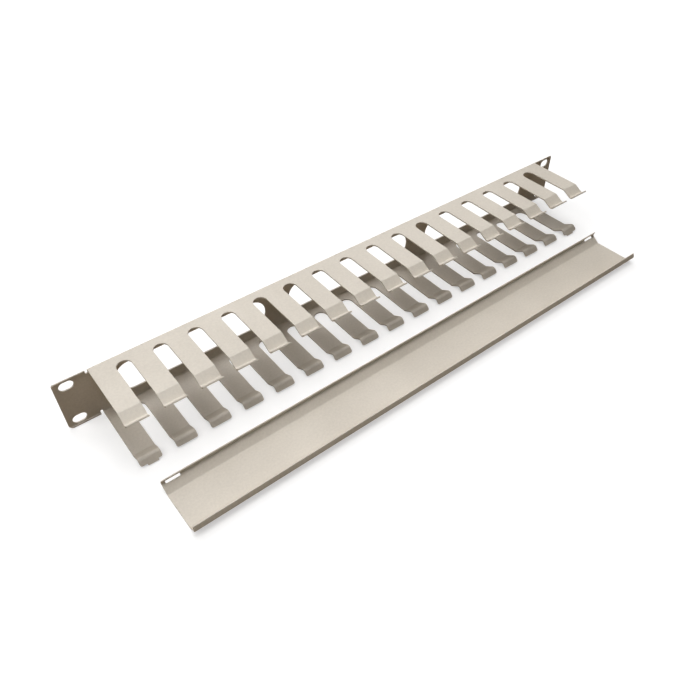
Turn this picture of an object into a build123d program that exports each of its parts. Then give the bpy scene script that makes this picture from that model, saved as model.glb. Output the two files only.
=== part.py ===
from build123d import *
import math
import os

# A one unit panel that guides cables along the front of a 19 inch rack, and its clip-on cover. Each is one
# folded sheet. Millimetres. X runs along the panel, -Y points out of the rack's front, and Z is up.
# The origin is the middle of the hole pattern, on the rear face that lies against the rack's posts.

# The standard rack's sizes. The insets are from the panel's edges to the middles of the rack slots.
panel_width = 482.6
panel_height = 43.65
slot_inset_x = 8.75
slot_inset_z = 5.95
rack_slot_length = 10.0
rack_slot_height = 7.0

# The panel's sheet, folds and ears
sheet = 1.2
bend_radius = 2.0
ear_width = 24.3
ear_corner = 3.0
relief_width = 1.8
relief_depth = 3.4

# The two finger rows. A finger runs flat from the rear face to its shoulder, slopes in to its valley and
# back out to its lip. Drops are measured from the flange's outer face. The tabs are set in from the middles
# of their fingers.
finger_count = 17
finger_width = 15.5
gap_floor_depth = 8.2
shoulder_depth = 49.1
slope_run = 8.1
valley_drop = 4.6
lip_run = 3.3
lip_drop = 1.0
upper_tip_corner = 0.4
lower_tip_corner = 1.3
tab_width = 7.6
tab_inset = 0.8
tab_reach = 1.3
tab_corner = 0.4

# The openings in the back plate: the web between two, the end margin, and the rim above and below
window_count = 3
window_web = 20.8
window_margin = 14.0
window_rim = 9.325

# The cover's sheet and folds. Heights are measured from the underside of its web. Each side leaves the web
# through a wide fold, rises to its kink and turns back in at its lip.
cover_sheet = 0.8
web_fold_radius = 3.0
kink_radius = 1.5
cover_end_gap = 1.8
clip_clearance = 0.35
flange_run = 7.4
kink_height = 5.4
hook_run = 1.4
cover_height = 9.3

# The slots round the cover's rear kink: how far each reaches down the flange and up the lip from the kink's
# corner. The clearance is at the tab's outer edge.
tab_clearance = 0.25
cover_slot_length = 10.4
slot_below = 1.85
slot_above = 2.0
slot_corner = 0.6

# Where the cover lies: its middle off the panel's middle and in front of the lips, and its turn in degrees
cover_aside = 2.2
cover_ahead = 42.35
cover_turn = 0.53

half_height = panel_height / 2
body_width = panel_width - 2 * ear_width
valley_depth = shoulder_depth + slope_run
valley_height = half_height - valley_drop
lip_depth = valley_depth + lip_run
lip_height = half_height - lip_drop
finger_pitch = (body_width - finger_width) / (finger_count - 1)
gap_width = finger_pitch - finger_width
outer_finger_x = (body_width - finger_width) / 2
tab_x = outer_finger_x - tab_inset
through = 3 * sheet

os.makedirs("parts", exist_ok=True)

# The sheet's outer face in section, from the lower lip round the back plate to the upper lip
upper_face = [
    (0, half_height),
    (-shoulder_depth, half_height),
    (-valley_depth, valley_height),
    (-lip_depth, lip_height),
]
lower_face = [(y, -z) for y, z in reversed(upper_face)]

# The lower lip's end, where the tabs carry on along the lip's slope
lip_angle = math.atan2(lip_height - valley_height, lip_depth - valley_depth)
lip_direction = Vector(0, -math.cos(lip_angle), -math.sin(lip_angle))
lip_inward = Vector(0, -math.sin(lip_angle), math.cos(lip_angle))
lip_end = Plane(
    origin=Vector(0, -lip_depth, -lip_height) + lip_inward * (sheet / 2),
    x_dir=(1, 0, 0),
    z_dir=lip_direction,
)

with BuildPart() as finger_panel:
    # The folded channel: back plate, flanges and hooked lips
    with BuildSketch(Plane.YZ.offset(-body_width / 2)):
        with BuildLine():
            FilletPolyline(*lower_face, *upper_face, radius=bend_radius)
            offset(amount=sheet, side=Side.LEFT)
        make_face()
    extrude(amount=body_width)

    # The rack ears, flush with the back plate, relieved at the folds' ends
    slot_spacing_x = panel_width - 2 * slot_inset_x
    slot_spacing_z = panel_height - 2 * slot_inset_z
    with BuildSketch(Plane.XZ):
        RectangleRounded(panel_width, panel_height, ear_corner)
        Rectangle(body_width, panel_height, mode=Mode.SUBTRACT)
        relief_x = body_width + relief_width
        with GridLocations(relief_x, panel_height - relief_depth, 2, 2):
            Rectangle(relief_width, relief_depth, mode=Mode.SUBTRACT)
        with GridLocations(slot_spacing_x, slot_spacing_z, 2, 2):
            SlotOverall(rack_slot_length, rack_slot_height, mode=Mode.SUBTRACT)
    extrude(amount=sheet)

    # The oblong openings in the back plate
    window_height = panel_height - 2 * window_rim
    window_pitch = (body_width - 2 * window_margin + window_web) / window_count
    window_length = window_pitch - window_web
    with BuildSketch(Plane.XZ.offset(-sheet)):
        with GridLocations(window_pitch, 0, window_count, 1):
            SlotOverall(window_length, window_height)
    extrude(amount=through, mode=Mode.SUBTRACT)

    # The gaps between the fingers, with a round floor, cut down through both rows at once
    gap_length = lip_depth + gap_width - gap_floor_depth
    gap_middle = gap_floor_depth + gap_length / 2
    with BuildSketch(Plane.XY.offset(-half_height)):
        with Locations((0, -gap_middle)):
            with GridLocations(finger_pitch, 0, finger_count - 1, 1):
                SlotOverall(gap_length, gap_width, rotation=90)
    extrude(amount=panel_height, mode=Mode.SUBTRACT)

    # The tabs that carry on from the first and last lower fingers
    with BuildSketch(lip_end):
        with GridLocations(2 * tab_x, 0, 2, 1):
            Rectangle(tab_width, sheet)
    extrude(amount=tab_reach)

    # Rounded corners at the fingers' tips and on the tabs
    def lip_corners(is_there):
        edges = finger_panel.edges().filter_by(lambda e: abs(e.length - sheet) < 0.01)
        edges = edges.filter_by(lambda e: e.center().Y < -(lip_depth - sheet))
        return edges.filter_by(lambda e: is_there(e.center()))

    def at_upper_tip(point):
        return point.Z > 0

    def on_tab(point):
        return point.Z < 0 and abs(abs(point.X) - tab_x) < tab_width / 2 + lower_tip_corner

    def at_lower_tip(point):
        return point.Z < 0 and not on_tab(point)

    fillet(lip_corners(at_upper_tip), radius=upper_tip_corner)
    fillet(lip_corners(at_lower_tip), radius=lower_tip_corner)
    fillet(lip_corners(on_tab), radius=tab_corner)

finger_panel.part.label = "finger_panel"
export_step(finger_panel.part, "parts/finger_panel.step")

# The cover lies on the surface that the panel stands on, with its web down
cover_middle = Vector(cover_aside, -lip_depth - cover_ahead, -half_height)
turn = math.radians(cover_turn)
along = Vector(math.cos(turn), math.sin(turn), 0)
across = Vector(-math.sin(turn), math.cos(turn), 0)
cover_length = body_width - 2 * cover_end_gap

# The sheet's underside in section, from the front lip under the web to the rear lip. The folds at the kinks
# go round the fingers' tips, and the lips hook in behind them.
kink_reach = lip_height + cover_sheet + clip_clearance
kink = Vector(kink_reach, kink_height)
flange_foot = Vector(kink_reach - flange_run, 0)
lip_top = Vector(kink_reach - hook_run, cover_height)
rear_half = [flange_foot, kink, lip_top]
front_half = [Vector(-point.X, point.Y) for point in reversed(rear_half)]
fold_radii = [kink_radius, web_fold_radius, web_fold_radius, kink_radius]

# The slot in the same section, square to the flange at its lower end and to the lip at its upper end
down = (flange_foot - kink).normalized()
up = (lip_top - kink).normalized()
past_flange = Vector(down.Y, -down.X) * (2 * cover_sheet)
past_lip = Vector(-up.Y, up.X) * (2 * cover_sheet)
slot_floor = kink + down * slot_below
slot_top = kink + up * slot_above
slot_profile = [
    slot_floor + past_flange,
    slot_floor - past_flange,
    kink - past_flange - past_lip,
    slot_top - past_lip,
    slot_top + past_lip,
]

with BuildPart() as cover:
    with BuildSketch(Plane(origin=cover_middle - along * (cover_length / 2), x_dir=across, z_dir=along)):
        with BuildLine():
            FilletPolyline(*front_half, *rear_half, radius=fold_radii)
            offset(amount=cover_sheet, side=Side.LEFT)
        make_face()
    extrude(amount=cover_length)

    # The slots that the panel's tabs go into, through the rear kink only
    slot_x = tab_x + tab_width / 2 + tab_clearance - cover_slot_length / 2
    for middle in (-slot_x, slot_x):
        slot_end = cover_middle + along * (middle - cover_slot_length / 2)
        with BuildSketch(Plane(origin=slot_end, x_dir=across, z_dir=along)):
            with BuildLine():
                Polyline(*slot_profile, close=True)
            make_face()
        extrude(amount=cover_slot_length, mode=Mode.SUBTRACT)

    # Small rounded corners in the slots
    def at_slot_corner(edge):
        x = abs((edge.center() - cover_middle).dot(along))
        at_end = abs(abs(x - slot_x) - cover_slot_length / 2) < 0.01
        return at_end and abs(edge.length - cover_sheet) < 0.01

    fillet(cover.edges().filter_by(at_slot_corner), radius=slot_corner)

cover.part.label = "cover"
export_step(cover.part, "parts/cover.step")
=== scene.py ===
import math

import bmesh
import bpy
from mathutils import Matrix, Vector


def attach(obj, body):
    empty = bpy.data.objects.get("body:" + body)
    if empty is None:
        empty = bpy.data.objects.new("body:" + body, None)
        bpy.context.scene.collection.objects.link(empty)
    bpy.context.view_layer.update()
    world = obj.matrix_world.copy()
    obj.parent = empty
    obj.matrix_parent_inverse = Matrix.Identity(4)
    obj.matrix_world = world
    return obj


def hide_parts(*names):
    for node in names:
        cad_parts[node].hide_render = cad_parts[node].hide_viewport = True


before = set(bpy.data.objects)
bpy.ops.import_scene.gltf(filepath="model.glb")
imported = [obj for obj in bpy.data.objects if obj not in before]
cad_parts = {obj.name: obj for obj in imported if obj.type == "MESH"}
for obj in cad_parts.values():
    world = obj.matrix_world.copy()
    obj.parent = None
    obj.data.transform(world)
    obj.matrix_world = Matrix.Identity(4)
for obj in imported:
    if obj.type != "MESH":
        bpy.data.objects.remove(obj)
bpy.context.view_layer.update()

# The finger panel. One sheet of cold rolled steel, cut flat, punched with its finger gaps, cable openings and
# rack slots, and folded six times on a press brake. Polyester powder is then blown on and baked into one even
# skin over faces and edges alike.
MM = 0.001
NEAR = 0.01 * MM
SHEET = 1.2 * MM
FOLD_RADIUS = 2.0 * MM
FOLD_STEP = math.radians(9)
EDGE_RADIUS = 0.22 * MM
SHARP_ANGLE = math.radians(60)
half_panel = 241.3 * MM
half_height = 21.825 * MM
half_body = half_panel - 24.3 * MM
ear_corner = 3.0 * MM
rack_slot_length = 10.0 * MM
rack_slot_height = 7.0 * MM
rack_slot_spacing_x = 465.1 * MM
rack_slot_spacing_z = 31.75 * MM
relief_width = 1.8 * MM
relief_floor = half_height - 3.4 * MM

# The folded sheet's outer face, as depth in front of the rear face and height from the middle
shoulder = 49.1 * MM
valley = (shoulder + 8.1 * MM, half_height - 4.6 * MM)
lip = (valley[0] + 3.3 * MM, half_height - 1.0 * MM)
finger_count = 17
finger_width = 15.5 * MM
gap_floor = 8.2 * MM
upper_tip_corner = 0.4 * MM
lower_tip_corner = 1.3 * MM
tab_inset = 0.8 * MM
half_tab = 3.8 * MM
tab_reach = 1.3 * MM
tab_corner = 0.4 * MM
window_count = 3
window_web = 20.8 * MM
window_margin = 14.0 * MM
window_height = 25.0 * MM


def linear(hex_colour):
    """An sRGB colour, as the linear values that shaders take."""
    parts = [int(hex_colour[i:i + 2], 16) / 255 for i in (1, 3, 5)]
    curve = [p / 12.92 if p <= 0.04045 else ((p + 0.055) / 1.055) ** 2.4 for p in parts]
    return (*curve, 1.0)


def add_node(tree, kind, *values, settings=None, **named):
    """Adds a node with its settings, and sets or links its inputs, in their order or by name."""
    node = tree.nodes.new(kind)
    for name, value in (settings or {}).items():
        setattr(node, name, value)
    sockets = [s for s in node.inputs if s.enabled]
    pairs = list(zip(sockets, values))
    for name, value in named.items():
        pairs.append((next(s for s in sockets if s.name.replace(" ", "_") == name), value))
    for socket, value in pairs:
        if isinstance(value, bpy.types.NodeSocket):
            tree.links.new(value, socket)
        else:
            socket.default_value = value
    return node


def powder_coat():
    """Powder coat, blown on and baked. It shows as a dry, faintly pebbled satin with wide reflections."""
    material = bpy.data.materials.new("satin_powder_coat")
    material.use_nodes = True
    tree = material.node_tree
    shader = tree.nodes["Principled BSDF"]
    place = add_node(tree, "ShaderNodeTexCoord").outputs["Object"]

    # Real pebbles are about half a millimetre wide. They are drawn coarser, so that they show.
    pebble_width = 1.6 * MM
    cloud_width = 45 * MM
    pebbles = add_node(tree, "ShaderNodeTexNoise", Vector=place, Scale=1 / pebble_width, Detail=2.0)
    clouds = add_node(tree, "ShaderNodeTexNoise", Vector=place, Scale=1 / cloud_width, Detail=3.0)

    # A tint that clouds and pebbles vary a little
    mottle = add_node(
        tree, "ShaderNodeMath", clouds.outputs["Fac"], pebbles.outputs["Fac"], settings={"operation": "ADD"},
    )
    share = add_node(tree, "ShaderNodeMapRange", mottle.outputs["Value"], From_Min=0.7, From_Max=1.3)
    tint = add_node(
        tree, "ShaderNodeMix", share.outputs["Result"], linear("#CAC1B2"), linear("#D4CBBC"),
        settings={"data_type": "RGBA"},
    )
    tree.links.new(tint.outputs["Result"], shader.inputs["Base Color"])

    # The pebbles' tops are a little rougher than the hollows between them
    roughness = add_node(
        tree, "ShaderNodeMapRange", pebbles.outputs["Fac"],
        From_Min=0.3, From_Max=0.7, To_Min=0.42, To_Max=0.54,
    )
    tree.links.new(roughness.outputs["Result"], shader.inputs["Roughness"])
    bump = add_node(tree, "ShaderNodeBump", Height=pebbles.outputs["Fac"], Strength=0.25, Distance=0.05 * MM)
    tree.links.new(bump.outputs["Normal"], shader.inputs["Normal"])
    return material


def fold_path(corners, thickness, fold_radii):
    """The sheet's middle line, as straight and round stretches, from the corners of its outer face.
    A stretch is its start along the line, its length, its first point, its heading and its curl."""
    headings = [math.atan2(b[1] - a[1], b[0] - a[0]) for a, b in zip(corners, corners[1:])]
    lengths = [math.dist(a, b) for a, b in zip(corners, corners[1:])]
    turns = [(b - a + math.pi) % (2 * math.pi) - math.pi for a, b in zip(headings, headings[1:])]
    turns = [0.0, *turns, 0.0]
    fold_radii = [0.0, *fold_radii, 0.0]
    inward = thickness / 2
    y = corners[0][0] - inward * math.sin(headings[0])
    z = corners[0][1] + inward * math.cos(headings[0])
    stretches = []
    start = 0.0
    for i, heading in enumerate(headings):
        bends = turns[i:i + 2]
        radii = [r - math.copysign(inward, t) for t, r in zip(bends, fold_radii[i:i + 2])]
        lost = sum(inward * math.tan(t / 2) + r * math.tan(abs(t) / 2) for t, r in zip(bends, radii))
        length = lengths[i] - lost
        stretches.append((start, length, y, z, heading, 0.0))
        y += length * math.cos(heading)
        z += length * math.sin(heading)
        start += length
        turn = bends[1]
        if turn:
            curl = math.copysign(1 / radii[1], turn)
            arc = abs(turn) * radii[1]
            stretches.append((start, arc, y, z, heading, curl))
            y += (math.sin(heading + turn) - math.sin(heading)) / curl
            z += (math.cos(heading) - math.cos(heading + turn)) / curl
            start += arc
    return stretches


def on_path(stretches, s, out):
    """The point at a distance s along the folded sheet, and at a height out from its middle line."""
    start, _, y, z, heading, curl = [p for p in stretches if p[0] <= s or p is stretches[0]][-1]
    run = s - start
    turned = heading + run * curl
    if curl:
        y += (math.sin(turned) - math.sin(heading)) / curl
        z += (math.cos(heading) - math.cos(turned)) / curl
    else:
        y += run * math.cos(heading)
        z += run * math.sin(heading)
    return y + out * math.sin(turned), z - out * math.cos(turned)


def cut_blank(outline, thickness):
    """A flat slab from a closed outline, lying on XY and centred on its own thickness."""
    bm = bmesh.new()
    face = bm.faces.new([bm.verts.new((x, s, -thickness / 2)) for x, s in outline])
    raised = bmesh.ops.extrude_face_region(bm, geom=[face])["geom"]
    raised = [g for g in raised if isinstance(g, bmesh.types.BMVert)]
    bmesh.ops.translate(bm, verts=raised, vec=(0, 0, thickness))
    bmesh.ops.recalc_face_normals(bm, faces=bm.faces)
    return bm


def round_corners(bm, is_corner, radius, segments):
    """Rounds the slab's upright edges where is_corner says so."""
    upright = [e for e in bm.edges if abs(e.verts[0].co.z - e.verts[1].co.z) > NEAR]
    chosen = [e for e in upright if is_corner((e.verts[0].co + e.verts[1].co) / 2)]
    bmesh.ops.bevel(bm, geom=chosen, offset=radius, segments=segments, profile=0.5, affect="EDGES")


def soften_edges(bm):
    """Rounds every cut edge a little, as the coat does."""
    sharp = [e for e in bm.edges if len(e.link_faces) == 2 and e.calc_face_angle() > SHARP_ANGLE]
    bmesh.ops.bevel(bm, geom=sharp, offset=EDGE_RADIUS, segments=2, profile=0.5, affect="EDGES")


def punch_tree():
    """Cuts a grid of holes with round corners through a flat slab."""
    tree = bpy.data.node_groups.new("punch_grid", "GeometryNodeTree")
    face = tree.interface
    face.new_socket("Geometry", in_out="OUTPUT", socket_type="NodeSocketGeometry")
    face.new_socket("Geometry", in_out="INPUT", socket_type="NodeSocketGeometry")
    for name, kind in {
        "Columns": "Int", "Rows": "Int", "Grid Width": "Float", "Grid Height": "Float",
        "Grid Middle": "Vector", "Hole Width": "Float", "Hole Height": "Float", "Corner Radius": "Float",
        "Material": "Material",
    }.items():
        face.new_socket(name, in_out="INPUT", socket_type="NodeSocket" + kind)
    size = tree.nodes.new("NodeGroupInput").outputs
    twice = add_node(tree, "ShaderNodeMath", size["Corner Radius"], 2.0, settings={"operation": "MULTIPLY"})
    width, height = [
        add_node(tree, "ShaderNodeMath", size[name], twice.outputs[0], settings={"operation": "SUBTRACT"})
        for name in ("Hole Width", "Hole Height")
    ]
    corners = add_node(tree, "GeometryNodeMeshGrid", width.outputs[0], height.outputs[0], 2, 2)
    disc = add_node(
        tree, "GeometryNodeMeshCylinder", Vertices=48, Radius=size["Corner Radius"], Depth=4 * SHEET,
    )
    discs = add_node(
        tree, "GeometryNodeInstanceOnPoints", Points=corners.outputs["Mesh"], Instance=disc.outputs["Mesh"],
    )
    solid_discs = add_node(tree, "GeometryNodeRealizeInstances", discs.outputs["Instances"])
    punch = add_node(tree, "GeometryNodeConvexHull", solid_discs.outputs["Geometry"])
    places = add_node(
        tree, "GeometryNodeMeshGrid", size["Grid Width"], size["Grid Height"], size["Columns"], size["Rows"],
    )
    moved = add_node(
        tree, "GeometryNodeTransform", Geometry=places.outputs["Mesh"], Translation=size["Grid Middle"],
    )
    punches = add_node(
        tree, "GeometryNodeInstanceOnPoints", Points=moved.outputs["Geometry"], Instance=punch.outputs[0],
    )
    solid_punches = add_node(tree, "GeometryNodeRealizeInstances", punches.outputs["Instances"])
    cut = add_node(
        tree, "GeometryNodeMeshBoolean", Mesh_1=size["Geometry"], Mesh_2=solid_punches.outputs["Geometry"],
        settings={"operation": "DIFFERENCE", "solver": "EXACT"},
    )
    whole = add_node(tree, "GeometryNodeRealizeInstances", cut.outputs["Mesh"])
    coated = add_node(
        tree, "GeometryNodeSetMaterial", Geometry=whole.outputs["Geometry"], Material=size["Material"],
    )
    add_node(tree, "NodeGroupOutput", coated.outputs["Geometry"])
    return tree


def punched(bm, tree, grids, material):
    """The slab with every grid of holes punched, as a new bmesh."""
    mesh = bpy.data.meshes.new("blank")
    bm.to_mesh(mesh)
    bm.free()
    sheet = bpy.data.objects.new("blank", mesh)
    bpy.context.scene.collection.objects.link(sheet)
    sockets = {s.name: s.identifier for s in tree.interface.items_tree if s.in_out == "INPUT"}
    for grid in grids:
        modifier = sheet.modifiers.new("punch", "NODES")
        modifier.node_group = tree
        for name, value in (grid | {"Material": material}).items():
            modifier[sockets[name]] = value
    ready = sheet.evaluated_get(bpy.context.evaluated_depsgraph_get())
    result = bpy.data.meshes.new_from_object(ready)
    sheet.modifiers.clear()
    bpy.data.objects.remove(sheet)
    out = bmesh.new()
    out.from_mesh(result)
    bmesh.ops.remove_doubles(out, verts=out.verts, dist=1e-6)
    return out


def fold_blank(bm, stretches, mirror_y, mirror_z):
    """Folds the slab along its path on both sides of its middle. The two signs mirror the second side."""
    for start, length, *_, curl in stretches:
        if not curl:
            continue
        steps = max(2, math.ceil(abs(length * curl) / FOLD_STEP))
        for side in (1, -1):
            for k in range(steps + 1):
                line = side * (start + length * k / steps)
                geometry = bm.verts[:] + bm.edges[:] + bm.faces[:]
                bmesh.ops.bisect_plane(
                    bm, geom=geometry, plane_co=(0, line, 0), plane_no=(0, 1, 0), dist=1e-7,
                )
    for vert in bm.verts:
        x, s, out = vert.co
        y, z = on_path(stretches, abs(s), out)
        vert.co = (x, y * mirror_y, z * mirror_z) if s < 0 else (x, y, z)

    # The path's directions mirror the slab, so its faces are turned outwards again
    bmesh.ops.reverse_faces(bm, faces=bm.faces)


def finished(bm, name, material):
    """A smooth shaded object whose flat faces stay flat to the light."""
    mesh = bpy.data.meshes.new(name)
    bm.to_mesh(mesh)
    bm.free()
    mesh.shade_smooth()
    mesh.materials.clear()
    mesh.materials.append(material)
    piece = bpy.data.objects.new(name, mesh)
    bpy.context.scene.collection.objects.link(piece)
    normals = piece.modifiers.new("flat_faces", "WEIGHTED_NORMAL")
    normals.weight = 100
    return piece


coat = powder_coat()
punch_grid = punch_tree()
panel_path = fold_path(
    [(0, 0), (0, half_height), (-shoulder, half_height), (-valley[0], valley[1]), (-lip[0], lip[1])],
    SHEET, [FOLD_RADIUS] * 3,
)
panel_end = panel_path[-1][0] + panel_path[-1][1]
tab_x = half_body - finger_width / 2 - tab_inset
right_side = [
    (tab_x - half_tab, -panel_end),
    (tab_x - half_tab, -panel_end - tab_reach),
    (tab_x + half_tab, -panel_end - tab_reach),
    (tab_x + half_tab, -panel_end),
    (half_body, -panel_end),
    (half_body, -relief_floor),
    (half_body + relief_width, -relief_floor),
    (half_body + relief_width, -half_height),
    (half_panel, -half_height),
    (half_panel, half_height),
    (half_body + relief_width, half_height),
    (half_body + relief_width, relief_floor),
    (half_body, relief_floor),
    (half_body, panel_end),
]
left_side = [(-x, s) for x, s in reversed(right_side)]
blank = cut_blank(right_side + left_side, SHEET)
round_corners(blank, lambda p: abs(p.x) > half_panel - NEAR, ear_corner, 6)

finger_pitch = (2 * half_body - finger_width) / (finger_count - 1)
gap_width = finger_pitch - finger_width
gap_start = panel_path[2][0] - FOLD_RADIUS + gap_floor
gap_length = panel_end + gap_width - gap_start
window_pitch = (2 * half_body - 2 * window_margin + window_web) / window_count
blank = punched(blank, punch_grid, [
    {
        "Columns": finger_count - 1, "Rows": 2,
        "Grid Width": (finger_count - 2) * finger_pitch, "Grid Height": 2 * gap_start + gap_length,
        "Hole Width": gap_width, "Hole Height": gap_length, "Corner Radius": gap_width / 2,
    },
    {
        "Columns": window_count, "Rows": 1,
        "Grid Width": (window_count - 1) * window_pitch, "Grid Height": 0.0,
        "Hole Width": window_pitch - window_web, "Hole Height": window_height,
        "Corner Radius": window_height / 2,
    },
    {
        "Columns": 2, "Rows": 2, "Grid Width": rack_slot_spacing_x, "Grid Height": rack_slot_spacing_z,
        "Hole Width": rack_slot_length, "Hole Height": rack_slot_height,
        "Corner Radius": rack_slot_height / 2,
    },
], coat)


def at_lower_tip(point):
    return abs(point.y + panel_end) < NEAR and abs(abs(point.x) - tab_x) > half_tab + lower_tip_corner


round_corners(blank, lambda p: abs(p.y) > panel_end + NEAR, tab_corner, 3)
round_corners(blank, lambda p: abs(p.y - panel_end) < NEAR, upper_tip_corner, 3)
round_corners(blank, at_lower_tip, lower_tip_corner, 5)
soften_edges(blank)
fold_blank(blank, panel_path, mirror_y=1, mirror_z=-1)
panel = finished(blank, "finger_panel_sheet", coat)
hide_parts("finger_panel")
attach(panel, "root")


# The cover. A narrower strip of thinner steel under the same coat, folded four times into a shallow channel
# whose lips turn back in, with a slot near each end of one fold. It lies web down in front of the panel, off
# its middle and a little turned.
COVER_SHEET = 0.8 * MM
WEB_FOLD_RADIUS = 3.0 * MM
KINK_RADIUS = 1.5 * MM
clip_clearance = 0.35 * MM
half_cover = half_body - 1.8 * MM
kink = (lip[1] + COVER_SHEET + clip_clearance, 5.4 * MM)
half_web = kink[0] - 7.4 * MM
lip_top = (kink[0] - 1.4 * MM, 9.3 * MM)
slot_length = 10.4 * MM
slot_below = 1.85 * MM
slot_above = 2.0 * MM
slot_corner = 0.6 * MM
tab_clearance = 0.25 * MM
cover_middle = (2.2 * MM, -lip[0] - 42.35 * MM, -half_height)
cover_turn = math.radians(0.53)
cover_path = fold_path(
    [(0, 0), (half_web, 0), kink, lip_top], COVER_SHEET, [WEB_FOLD_RADIUS, KINK_RADIUS],
)
cover_end = cover_path[-1][0] + cover_path[-1][1]
strip = cut_blank(
    [(-half_cover, -cover_end), (half_cover, -cover_end), (half_cover, cover_end), (-half_cover, cover_end)],
    COVER_SHEET,
)
kink_start, kink_arc, *_, kink_curl = cover_path[3]
kink_tangent = KINK_RADIUS * math.tan(abs(kink_arc * kink_curl) / 2)
slot_start = kink_start + kink_tangent - slot_below
slot_end = kink_start + kink_arc - kink_tangent + slot_above
slot_x = tab_x + half_tab + tab_clearance - slot_length / 2
strip = punched(strip, punch_grid, [
    {
        "Columns": 2, "Rows": 1, "Grid Width": 2 * slot_x, "Grid Height": 0.0,
        "Grid Middle": (0, (slot_start + slot_end) / 2, 0),
        "Hole Width": slot_length, "Hole Height": slot_end - slot_start, "Corner Radius": slot_corner,
    },
], coat)
soften_edges(strip)
fold_blank(strip, cover_path, mirror_y=-1, mirror_z=1)
strip.transform(Matrix.Translation(cover_middle) @ Matrix.Rotation(cover_turn, 4, "Z"))
cover = finished(strip, "cover_sheet", coat)
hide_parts("cover")
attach(cover, "root")


# The studio. A white table that only the camera sees, over a warm desk that throws its light up on the part,
# and wide soft lights: one overhead, one at the left, one behind, and a weak one in front.
BOARD_GAP = 0.2 * MM
HALF_BOARD = 4.0


def flat_board(name, height, base):
    """A wide matt board, level with a height."""
    material = bpy.data.materials.new(name)
    material.use_nodes = True
    shader = material.node_tree.nodes["Principled BSDF"]
    shader.inputs["Base Color"].default_value = linear(base)
    shader.inputs["Roughness"].default_value = 0.9
    shader.inputs["Specular IOR Level"].default_value = 0.0
    bm = bmesh.new()
    bmesh.ops.create_grid(bm, x_segments=1, y_segments=1, size=HALF_BOARD)
    bmesh.ops.translate(bm, verts=bm.verts, vec=(0, 0, height))
    mesh = bpy.data.meshes.new(name)
    bm.to_mesh(mesh)
    bm.free()
    mesh.materials.append(material)
    board = bpy.data.objects.new(name, mesh)
    bpy.context.scene.collection.objects.link(board)
    return board


# The table glows, so that only faint shadows show on it, and the glow grows away from the part, so that the
# table stays white as far as it can be seen
table = flat_board("white_table", -half_height, "#BCBAB6")
tree = table.data.materials[0].node_tree
place = add_node(tree, "ShaderNodeTexCoord").outputs["Object"]
distance = add_node(tree, "ShaderNodeVectorMath", place, settings={"operation": "LENGTH"})
glow = add_node(
    tree, "ShaderNodeMapRange", distance.outputs["Value"],
    From_Min=0.28, From_Max=0.6, To_Min=0.54, To_Max=1.0,
)
shader = tree.nodes["Principled BSDF"]
shader.inputs["Emission Color"].default_value = linear("#FFFFFF")
tree.links.new(glow.outputs["Result"], shader.inputs["Emission Strength"])
table.visible_diffuse = False
table.visible_glossy = False
table.visible_shadow = False
desk = flat_board("warm_desk", -half_height - BOARD_GAP, "#A29079")
desk.visible_camera = False


PART_MIDDLE = Vector((0, -0.05, 0))
LIGHT_DEPTH = 0.9


def soft_light(name, place, width, power):
    """A wide light that shines on the part from a place."""
    data = bpy.data.lights.new(name, "AREA")
    data.shape = "RECTANGLE"
    data.size = width
    data.size_y = LIGHT_DEPTH
    data.color = linear("#F8FAFF")[:3]
    data.energy = power
    lamp = bpy.data.objects.new(name, data)
    lamp.location = place
    lamp.rotation_euler = (PART_MIDDLE - Vector(place)).to_track_quat("-Z", "Y").to_euler()
    bpy.context.scene.collection.objects.link(lamp)


soft_light("overhead", place=(0.0, -0.03, 1.5), width=0.9, power=13.2)
soft_light("left", place=(-1.1, -0.03, 1.25), width=0.9, power=9.6)
soft_light("behind", place=(0.2, 0.93, 1.15), width=2.2, power=15.0)
soft_light("front", place=(-0.5, -1.05, 0.65), width=0.9, power=2.0)

world = bpy.data.worlds.new("surround")
bpy.context.scene.world = world
world.use_nodes = True
world.node_tree.nodes["Background"].inputs["Color"].default_value = linear("#FFFFFF")
world.node_tree.nodes["Background"].inputs["Strength"].default_value = 0.8
world.cycles_visibility.diffuse = False
world.cycles_visibility.glossy = False
bpy.context.scene.view_settings.view_transform = "Standard"
bpy.context.scene.view_settings.gamma = 0.87

# The camera, at the photo's angle, on the left of the part and above it
camera_data = bpy.data.cameras.new("camera")
camera_data.lens = 34.554
camera_data.clip_start = 0.01
camera = bpy.data.objects.new("camera", camera_data)
camera.location = (-0.26612, -0.34695, 0.33635)
camera.rotation_euler = [math.radians(angle) for angle in (45.554, 0.224, -37.723)]
bpy.context.scene.collection.objects.link(camera)
bpy.context.scene.camera = camera
